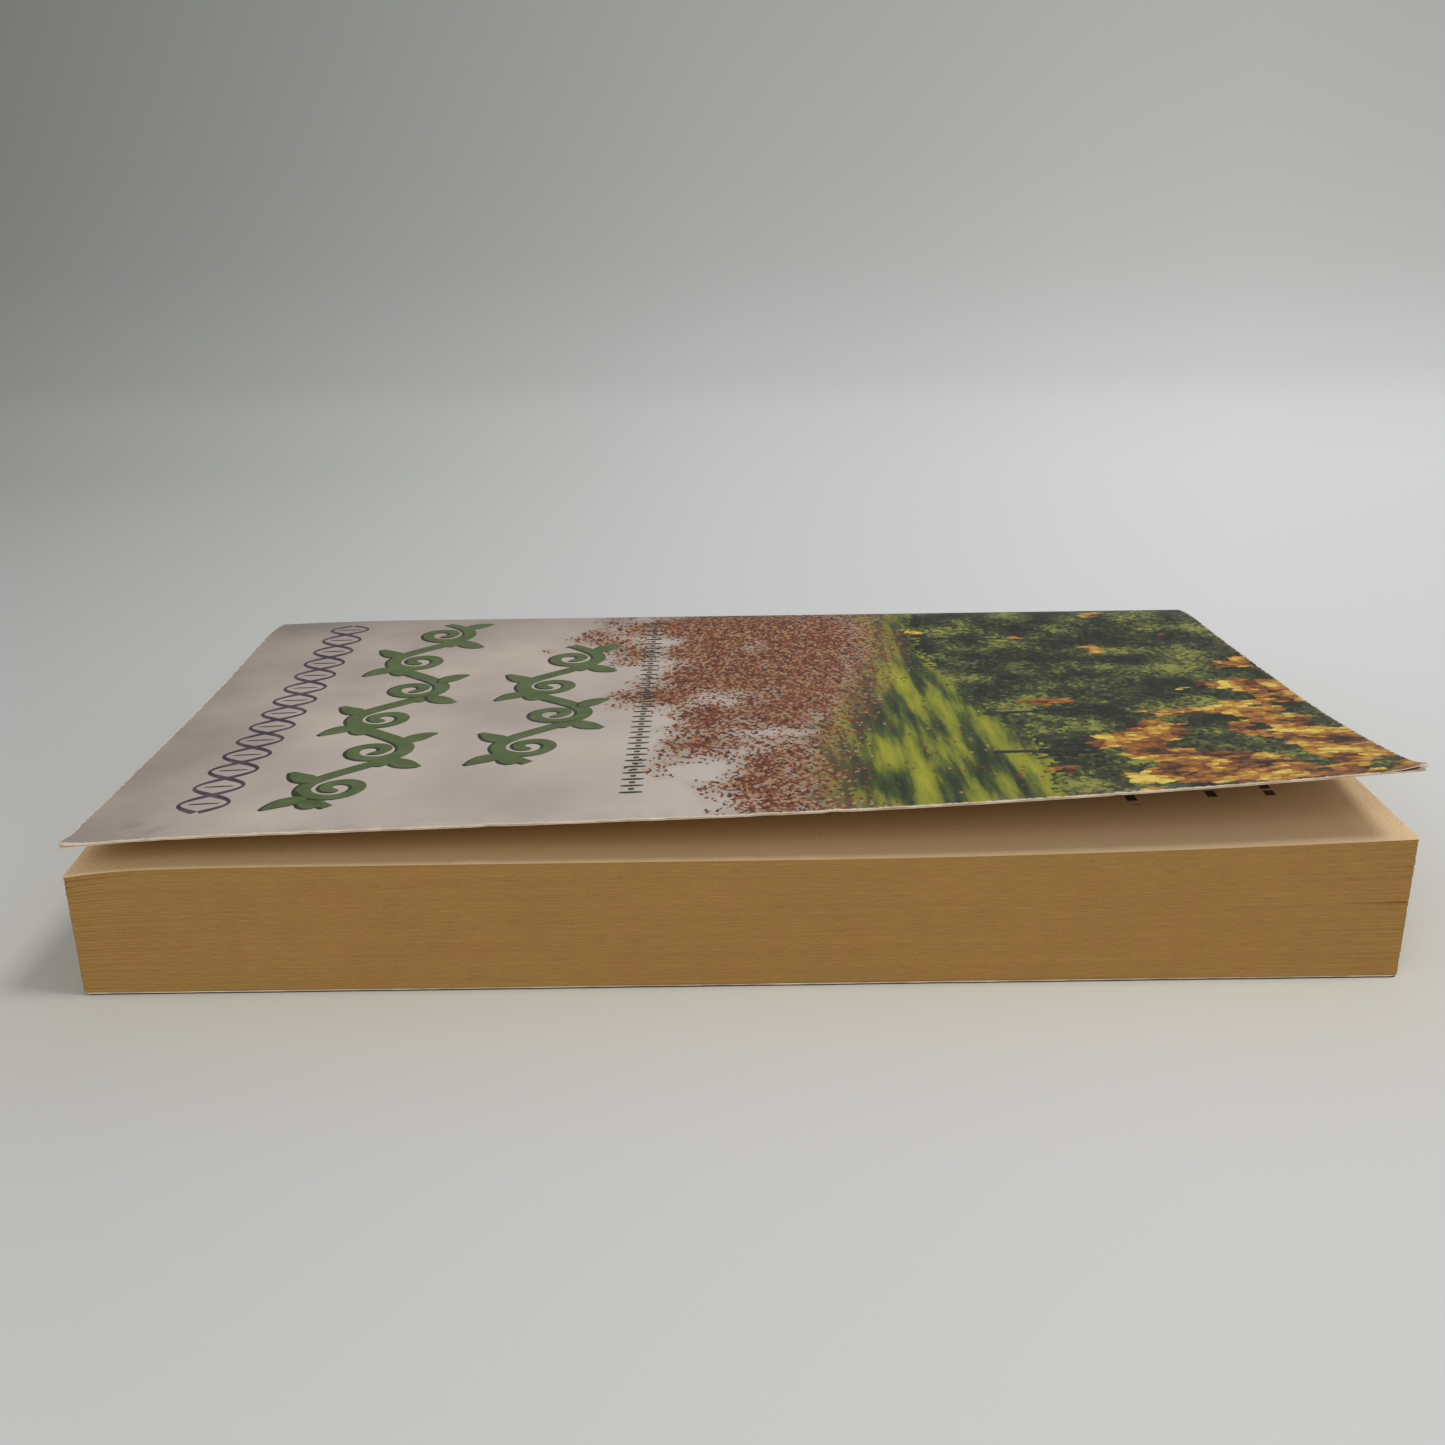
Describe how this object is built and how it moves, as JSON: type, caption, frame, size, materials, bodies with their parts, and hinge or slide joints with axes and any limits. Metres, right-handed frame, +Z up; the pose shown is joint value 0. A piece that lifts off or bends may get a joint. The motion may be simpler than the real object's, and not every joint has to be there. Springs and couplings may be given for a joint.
{
  "type": "paperback book",
  "caption": "Paperback book lying flat, with its front cover standing slightly open. Both covers open on hinges at the folds of the spine.",
  "frame": {"origin": "on the surface that the book lies on, under the middle of its trimmed outline", "axes": "+X along the spine from tail to head, +Y from the fore-edge to the spine, +Z up out of the front cover"},
  "size_m": [0.171, 0.1064, 0.0298],
  "materials": {
    "leaves": "matt, uncoated wood-pulp paper, browned towards the trimmed edges",
    "cover_card": "thin coated card, printed and semi-gloss outside, plain and matt inside",
    "binding_glue": "hot-melt glue film"
  },
  "bodies": {
    "book": {"page_block": "leaves", "spine_glue": "binding_glue", "spine_cover": "cover_card"},
    "front": {"front_cover": "cover_card"},
    "back": {"back_cover": "cover_card"}
  },
  "joints": [
    {"name": "front_cover_fold", "type": "hinge", "parent": "book", "child": "front", "pos_m": [0, 0.0532, 0.018], "axis": [-1, 0, 0], "range_deg": [0, 180]},
    {"name": "back_cover_fold", "type": "hinge", "parent": "book", "child": "back", "pos_m": [0, 0.0532, 0.0003], "axis": [1, 0, 0], "range_deg": [0, 180]}
  ]
}
